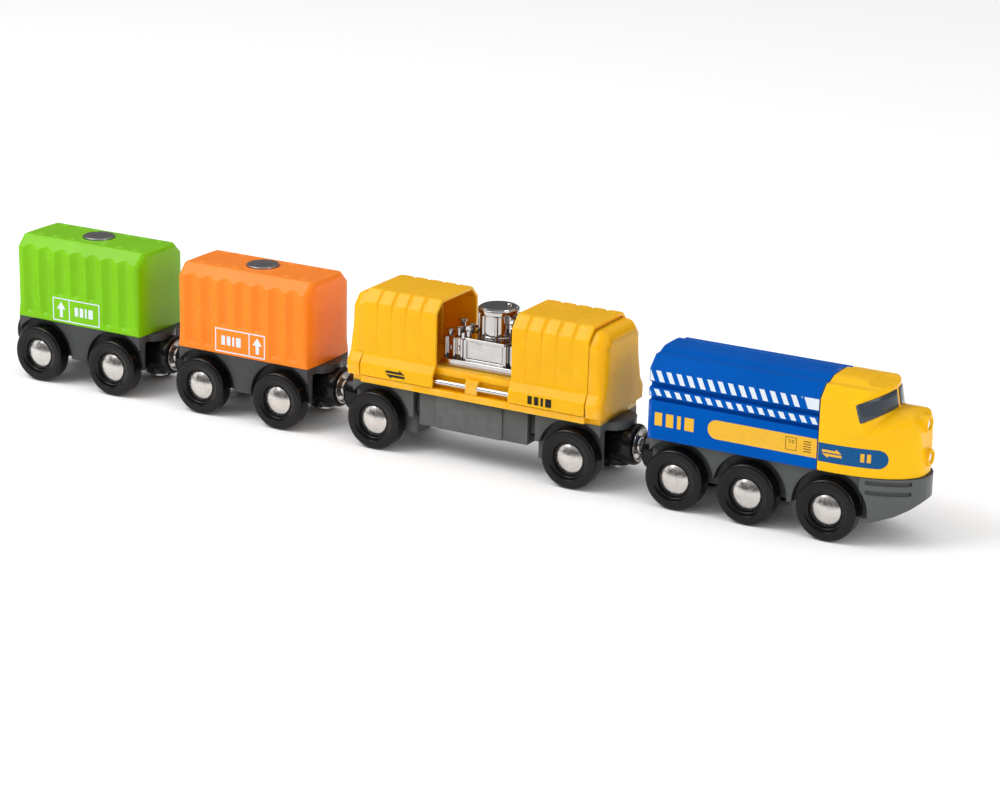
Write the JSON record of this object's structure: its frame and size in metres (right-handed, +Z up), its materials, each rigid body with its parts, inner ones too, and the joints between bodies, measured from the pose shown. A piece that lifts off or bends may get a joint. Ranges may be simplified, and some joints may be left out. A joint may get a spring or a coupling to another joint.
{
  "type": "push-along freight train",
  "caption": "Push-along wooden-railway freight train: blue and yellow locomotive, wagon with sliding covers over a plated machine, and wagons with lift-off containers, on magnetic couplings.",
  "frame": {"origin": "on the rail or floor surface, under the middle of the coupled train, on its centre plane", "axes": "+X along the train towards the locomotive's nose, +Y across the train to its left side, +Z up"},
  "size_m": [0.3498, 0.033, 0.054],
  "materials": {
    "blue_paint": "smooth satin paint over turned and milled beech, soft edges",
    "cab_yellow": "glossy moulded plastic",
    "wagon_yellow": "semi-gloss moulded plastic",
    "chassis_grey": "fine satin moulded plastic, mid grey",
    "wagon_grey": "fine satin moulded plastic, dark grey",
    "wheel_black": "semi-gloss black moulded plastic",
    "holder_black": "satin black moulded plastic",
    "nickel": "bright nickel plating with light brushing",
    "magnet_plate": "bright nickel plating",
    "window_grey": "printed slate grey glazing",
    "lamp_silver": "silvered clear lens",
    "screw_steel": "zinc plated steel",
    "mirror_plating": "mirror-bright vacuum plating on moulded plastic",
    "rod_steel": "polished steel rod",
    "orange_plastic": "satin moulded plastic",
    "green_plastic": "satin moulded plastic",
    "disc_steel": "dark nickelled steel disc"
  },
  "bodies": {
    "locomotive": {"loco_chassis": "chassis_grey", "loco_pilot": "chassis_grey", "loco_body": "blue_paint", "loco_cab": "cab_yellow", "cab_windows": "window_grey", "headlamp_lenses": "lamp_silver", "loco_screws": "screw_steel", "loco_coupler_pin": "screw_steel"},
    "loco_coupler": {"loco_coupler_holder": "holder_black", "loco_coupler_magnet": "magnet_plate"},
    "cover_wagon": {"cover_wagon_chassis": "chassis_grey", "cover_wagon_deck": "wagon_yellow", "front_housing": "wagon_yellow", "rear_housing": "wagon_yellow", "slide_rods": "rod_steel", "cargo_base": "mirror_plating", "cargo_tank": "mirror_plating", "cargo_pipework": "mirror_plating", "cover_wagon_screws": "screw_steel", "cover_wagon_coupler_pins": "screw_steel"},
    "front_cover": {"front_cover": "wagon_yellow"},
    "rear_cover": {"rear_cover": "wagon_yellow"},
    "orange_wagon": {"orange_chassis": "wagon_grey", "orange_coupler_pins": "screw_steel"},
    "orange_load": {"orange_container": "orange_plastic", "orange_lift_disc": "disc_steel"},
    "green_wagon": {"green_chassis": "wagon_grey", "green_coupler_pins": "screw_steel"},
    "green_load": {"green_container": "green_plastic", "green_lift_disc": "disc_steel"},
    "cover_wagon_front_coupler": {"cover_wagon_front_holder": "holder_black", "cover_wagon_front_magnet": "magnet_plate"},
    "cover_wagon_rear_coupler": {"cover_wagon_rear_holder": "holder_black", "cover_wagon_rear_magnet": "magnet_plate"},
    "orange_front_coupler": {"orange_front_holder": "holder_black", "orange_front_magnet": "magnet_plate"},
    "orange_rear_coupler": {"orange_rear_holder": "holder_black", "orange_rear_magnet": "magnet_plate"},
    "green_front_coupler": {"green_front_holder": "holder_black", "green_front_magnet": "magnet_plate"},
    "green_rear_coupler": {"green_rear_holder": "holder_black", "green_rear_magnet": "magnet_plate"},
    "loco_front_wheelset": {"loco_front_axle": "nickel", "loco_front_wheels": "wheel_black"},
    "loco_middle_wheelset": {"loco_middle_axle": "nickel", "loco_middle_wheels": "wheel_black"},
    "loco_rear_wheelset": {"loco_rear_axle": "nickel", "loco_rear_wheels": "wheel_black"},
    "cover_wagon_front_wheelset": {"cover_wagon_front_axle": "nickel", "cover_wagon_front_wheels": "wheel_black"},
    "cover_wagon_rear_wheelset": {"cover_wagon_rear_axle": "nickel", "cover_wagon_rear_wheels": "wheel_black"},
    "orange_front_wheelset": {"orange_front_axle": "nickel", "orange_front_wheels": "wheel_black"},
    "orange_rear_wheelset": {"orange_rear_axle": "nickel", "orange_rear_wheels": "wheel_black"},
    "green_front_wheelset": {"green_front_axle": "nickel", "green_front_wheels": "wheel_black"},
    "green_rear_wheelset": {"green_rear_axle": "nickel", "green_rear_wheels": "wheel_black"}
  },
  "joints": [
    {"name": "loco_front_roll", "type": "hinge", "parent": "locomotive", "child": "loco_front_wheelset", "pos_m": [0.1474, 0, 0.01], "axis": [0, 1, 0], "continuous": true},
    {"name": "loco_middle_roll", "type": "hinge", "parent": "locomotive", "child": "loco_middle_wheelset", "pos_m": [0.1205, 0, 0.01], "axis": [0, 1, 0], "continuous": true},
    {"name": "loco_rear_roll", "type": "hinge", "parent": "locomotive", "child": "loco_rear_wheelset", "pos_m": [0.0956, 0, 0.01], "axis": [0, 1, 0], "continuous": true},
    {"name": "loco_coupler_swivel", "type": "hinge", "parent": "locomotive", "child": "loco_coupler", "pos_m": [0.087, 0, 0.0137], "axis": [0, 0, 1], "range_deg": [-14, 14]},
    {"name": "cover_wagon_pull_off", "type": "slide", "parent": "loco_coupler", "child": "cover_wagon_front_coupler", "axis": [-1, 0, 0], "range_m": [0, 0.02]},
    {"name": "cover_wagon_front_swivel", "type": "hinge", "parent": "cover_wagon_front_coupler", "child": "cover_wagon", "pos_m": [0.0682, 0, 0.0137], "axis": [0, 0, 1], "range_deg": [-14, 14]},
    {"name": "cover_wagon_front_roll", "type": "hinge", "parent": "cover_wagon", "child": "cover_wagon_front_wheelset", "pos_m": [0.05805, 0, 0.01], "axis": [0, 1, 0], "continuous": true},
    {"name": "cover_wagon_rear_roll", "type": "hinge", "parent": "cover_wagon", "child": "cover_wagon_rear_wheelset", "pos_m": [-0.01575, 0, 0.01], "axis": [0, 1, 0], "continuous": true},
    {"name": "front_cover_slide", "type": "slide", "parent": "cover_wagon", "child": "front_cover", "axis": [-1, 0, 0], "range_m": [0, 0.014]},
    {"name": "rear_cover_slide", "type": "slide", "parent": "cover_wagon", "child": "rear_cover", "axis": [1, 0, 0], "range_m": [0, 0.014]},
    {"name": "cover_wagon_rear_swivel", "type": "hinge", "parent": "cover_wagon", "child": "cover_wagon_rear_coupler", "pos_m": [-0.0259, 0, 0.0137], "axis": [0, 0, 1], "range_deg": [-14, 14]},
    {"name": "orange_pull_off", "type": "slide", "parent": "cover_wagon_rear_coupler", "child": "orange_front_coupler", "axis": [-1, 0, 0], "range_m": [0, 0.02]},
    {"name": "orange_front_swivel", "type": "hinge", "parent": "orange_front_coupler", "child": "orange_wagon", "pos_m": [-0.0447, 0, 0.0137], "axis": [0, 0, 1], "range_deg": [-14, 14]},
    {"name": "orange_front_roll", "type": "hinge", "parent": "orange_wagon", "child": "orange_front_wheelset", "pos_m": [-0.0542, 0, 0.01], "axis": [0, 1, 0], "continuous": true},
    {"name": "orange_rear_roll", "type": "hinge", "parent": "orange_wagon", "child": "orange_rear_wheelset", "pos_m": [-0.0862, 0, 0.01], "axis": [0, 1, 0], "continuous": true},
    {"name": "orange_load_lift", "type": "slide", "parent": "orange_wagon", "child": "orange_load", "axis": [0, 0, 1], "range_m": [0, 0.035]},
    {"name": "orange_rear_swivel", "type": "hinge", "parent": "orange_wagon", "child": "orange_rear_coupler", "pos_m": [-0.0957, 0, 0.0137], "axis": [0, 0, 1], "range_deg": [-14, 14]},
    {"name": "green_pull_off", "type": "slide", "parent": "orange_rear_coupler", "child": "green_front_coupler", "axis": [-1, 0, 0], "range_m": [0, 0.02]},
    {"name": "green_front_swivel", "type": "hinge", "parent": "green_front_coupler", "child": "green_wagon", "pos_m": [-0.1145, 0, 0.0137], "axis": [0, 0, 1], "range_deg": [-14, 14]},
    {"name": "green_front_roll", "type": "hinge", "parent": "green_wagon", "child": "green_front_wheelset", "pos_m": [-0.124, 0, 0.01], "axis": [0, 1, 0], "continuous": true},
    {"name": "green_rear_roll", "type": "hinge", "parent": "green_wagon", "child": "green_rear_wheelset", "pos_m": [-0.156, 0, 0.01], "axis": [0, 1, 0], "continuous": true},
    {"name": "green_load_lift", "type": "slide", "parent": "green_wagon", "child": "green_load", "axis": [0, 0, 1], "range_m": [0, 0.035]},
    {"name": "green_rear_swivel", "type": "hinge", "parent": "green_wagon", "child": "green_rear_coupler", "pos_m": [-0.1655, 0, 0.0137], "axis": [0, 0, 1], "range_deg": [-14, 14]}
  ]
}
